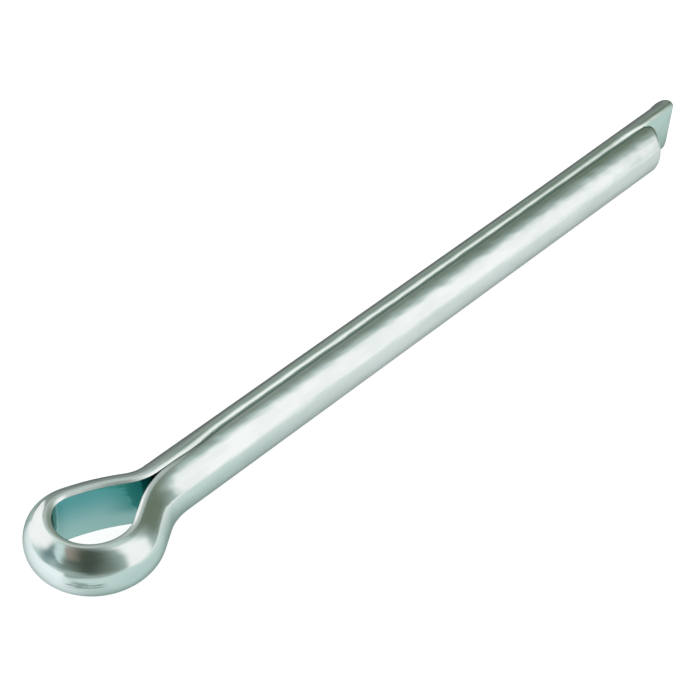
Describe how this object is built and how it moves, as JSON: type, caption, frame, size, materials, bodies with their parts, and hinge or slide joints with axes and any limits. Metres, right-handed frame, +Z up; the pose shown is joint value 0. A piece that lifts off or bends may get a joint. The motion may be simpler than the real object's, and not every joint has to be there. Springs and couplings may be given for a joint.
{
  "type": "cotter pin",
  "caption": "Split pin of half-round wire folded into an eye, with two legs that lie together as a round shank; one leg reaches past the other so it can be spread.",
  "frame": {"origin": "on the shank's axis, where the shank turns fully round below the eye's neck", "axes": "+X along the shank towards the tips, +Y from the short leg to the long leg, +Z up, square to the eye's plane"},
  "size_m": [0.0944, 0.0128, 0.0056],
  "materials": {
    "zinc_plated_steel": "clear blue-white zinc plate, satin with drawn lines along the wire"
  },
  "bodies": {
    "root": {"pin": "zinc_plated_steel"}
  },
  "joints": []
}
